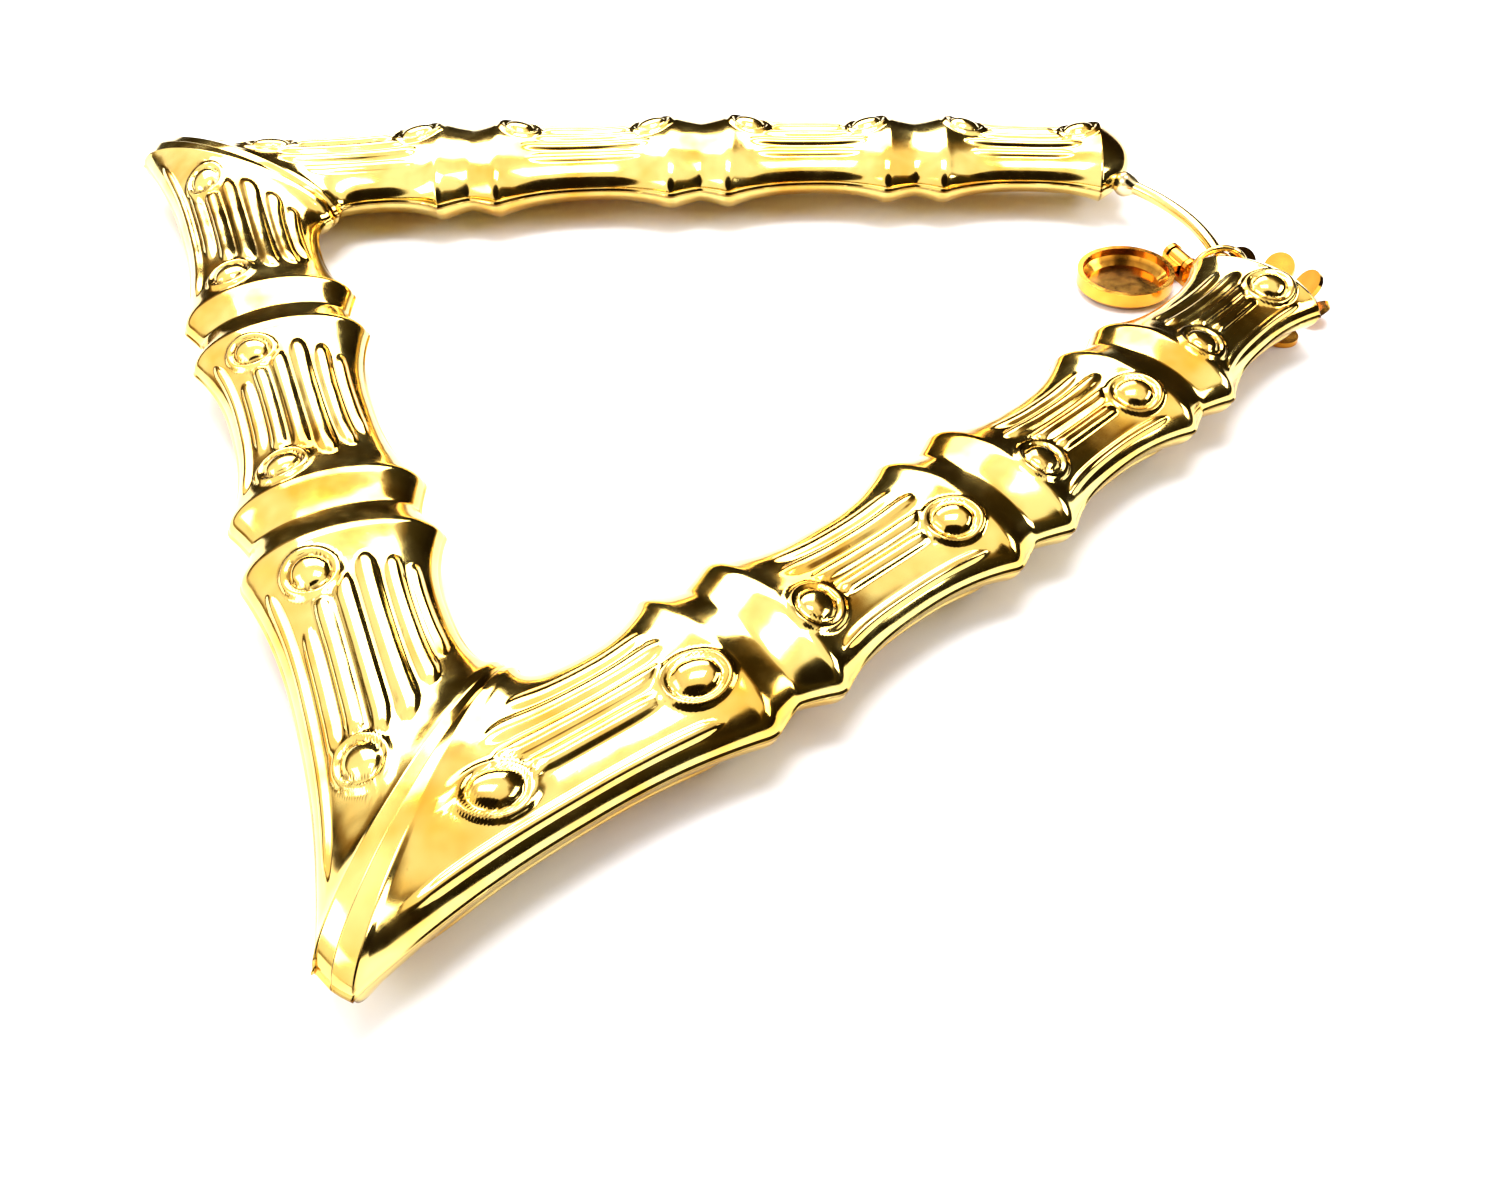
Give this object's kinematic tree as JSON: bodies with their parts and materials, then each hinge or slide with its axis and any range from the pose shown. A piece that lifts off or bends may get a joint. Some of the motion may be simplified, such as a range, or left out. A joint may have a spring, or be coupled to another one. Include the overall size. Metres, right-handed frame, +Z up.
{
  "type": "clip-on hoop earring",
  "caption": "Large triangular hoop earring with a bamboo-jointed hollow tube, closed by a wire that carries a jump ring and a hinged ear clip.",
  "frame": {"origin": "on the floor under the middle of the earring as it lies on its back face", "axes": "+X along the hoop's straight base, +Y from the base to the open end with the clip, +Z up from the floor"},
  "size_m": [0.0898, 0.08, 0.0064],
  "materials": {
    "polished_gold": "polished gold plating",
    "pale_gold": "bright drawn wire, gold plated",
    "stamped_gold": "stamped sheet, gold plated"
  },
  "bodies": {
    "hoop": {"hoop_body": "polished_gold", "jump_ring": "pale_gold", "clip_plate": "stamped_gold", "hinge_pin": "pale_gold"},
    "lever": {"clip_paddle": "stamped_gold"}
  },
  "joints": [
    {"name": "clip_hinge", "type": "hinge", "parent": "hoop", "child": "lever", "pos_m": [0.0022, 0.03237, 0.00115], "axis": [-1, 0, 0], "range_deg": [0, 88]}
  ]
}
